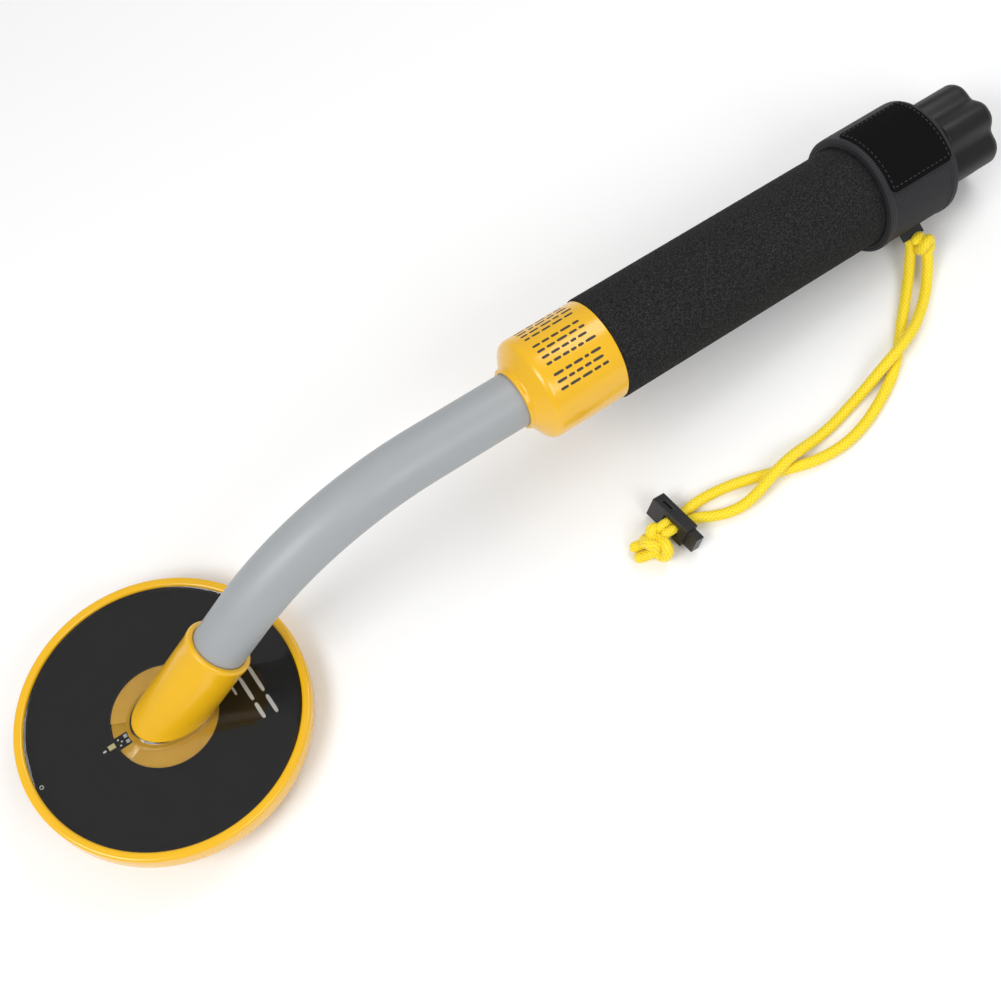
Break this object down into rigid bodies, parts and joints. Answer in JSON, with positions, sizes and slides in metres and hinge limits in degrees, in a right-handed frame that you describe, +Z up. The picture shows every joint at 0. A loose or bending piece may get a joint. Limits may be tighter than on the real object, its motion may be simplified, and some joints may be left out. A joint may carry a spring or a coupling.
{
  "type": "pinpointer probe",
  "caption": "Hand-held metal-detecting probe: a round coil head on a bent pipe, a foam-covered battery handle with a screw plug, and a wrist lanyard with a cord lock.",
  "frame": {"origin": "on the table, below the middle of the probe's box without its lanyard", "axes": "+X from the coil head towards the knob, +Z up from the table; the probe lies on the head's lower edge and the strap"},
  "size_m": [0.5304, 0.1516, 0.0927],
  "materials": {
    "yellow_abs": "glossy injection-moulded ABS",
    "clear_resin": "clear glossy potting resin",
    "board_black": "black solder mask",
    "copper_wire": "enamelled copper",
    "solder": "tinned",
    "led_lens": "moulded",
    "grey_pvc": "satin extruded PVC",
    "cable_sheath": "matte PVC sheath",
    "seal_rubber": "moulded rubber",
    "white_pvc": "extruded PVC",
    "black_foam": "closed-cell foam with a fine speckle",
    "black_webbing": "woven nylon webbing",
    "black_loop_tape": "brushed loop tape",
    "grey_foam": "foam",
    "green_board": "solder mask",
    "chip_black": "moulded",
    "capacitor_sleeve": "shrink sleeve",
    "connector_ivory": "moulded",
    "plated_steel": "zinc plated",
    "ball_gold": "gold plated",
    "battery_case": "printed steel case",
    "snap_black": "vinyl",
    "wire_red": "insulated wire",
    "black_nylon": "moulded, satin",
    "brass": "machined",
    "yellow_cord": "braided polypropylene",
    "lock_black": "moulded, satin",
    "spring_steel": "drawn wire"
  },
  "bodies": {
    "probe": {"coil_dish": "yellow_abs", "stem_socket": "yellow_abs", "coil_winding": "copper_wire", "coil_leads": "copper_wire", "coil_board": "board_black", "indicator_led": "led_lens", "solder_pads": "solder", "potting_resin": "clear_resin", "stem_tube": "grey_pvc", "coil_cable": "cable_sheath", "front_cap": "yellow_abs", "stem_seal": "seal_rubber", "handle_pipe": "white_pvc", "foam_grip": "black_foam", "strap_band": "black_webbing", "strap_flap": "black_loop_tape", "lanyard_tab": "black_webbing", "board_holders": "grey_foam", "main_board": "green_board", "board_chips": "chip_black", "board_capacitors": "capacitor_sleeve", "cable_connector": "connector_ivory", "vibration_motor": "plated_steel", "motor_cradle": "snap_black", "tilt_switch": "plated_steel", "battery_leads": "wire_red", "lanyard_strand_a": "yellow_cord", "lanyard_strand_b": "yellow_cord", "strap_knot": "yellow_cord", "end_knot": "yellow_cord", "cord_lock_case": "lock_black", "cord_lock_spring": "spring_steel"},
    "plug": {"plug_cap": "black_nylon", "plug_gasket": "seal_rubber", "knob_washer": "plated_steel"},
    "clamp": {"plug_disc": "black_nylon", "plug_bolt": "plated_steel"},
    "knob_body": {"knob": "black_nylon", "knob_nut": "brass"},
    "battery_pack": {"battery": "battery_case", "battery_snap": "snap_black", "battery_pad": "grey_foam"},
    "motor_rotor": {"motor_weight": "plated_steel"},
    "switch_ball": {"tilt_ball": "ball_gold"},
    "lock_plunger": {"cord_lock_plunger": "lock_black"}
  },
  "joints": [
    {"name": "plug_pull", "type": "slide", "parent": "probe", "child": "plug", "axis": [0.9833, 0, -0.1822], "range_m": [0, 0.075]},
    {"name": "knob_turn", "type": "hinge", "parent": "plug", "child": "knob_body", "pos_m": [0.23188, 0, 0.02746], "axis": [0.9833, 0, -0.1822], "range_deg": [0, 720]},
    {"name": "clamp_draw", "type": "slide", "parent": "plug", "child": "clamp", "axis": [0.9833, 0, -0.1822], "range_m": [-0.0025, 0]},
    {"name": "battery_slide", "type": "slide", "parent": "probe", "child": "battery_pack", "axis": [0.9833, 0, -0.1822], "range_m": [0, 0.075]},
    {"name": "plunger_press", "type": "slide", "parent": "probe", "child": "lock_plunger", "axis": [-0.0872, 0.9962, 0], "range_m": [0, 0.0025], "stiffness_N_per_m": 600, "springref_m": -0.003},
    {"name": "motor_spin", "type": "hinge", "parent": "probe", "child": "motor_rotor", "pos_m": [0.08208, 0.007, 0.05663], "axis": [0.9833, 0, -0.1822], "continuous": true},
    {"name": "ball_roll", "type": "slide", "parent": "probe", "child": "switch_ball", "axis": [0.9833, 0, -0.1822], "range_m": [-0.004, 0]}
  ],
  "couplings": [
    {"joint": "clamp_draw", "follows": "knob_turn", "m_per_rad": -0.00019894},
    {"joint": "battery_slide", "follows": "plug_pull", "ratio": 1}
  ]
}
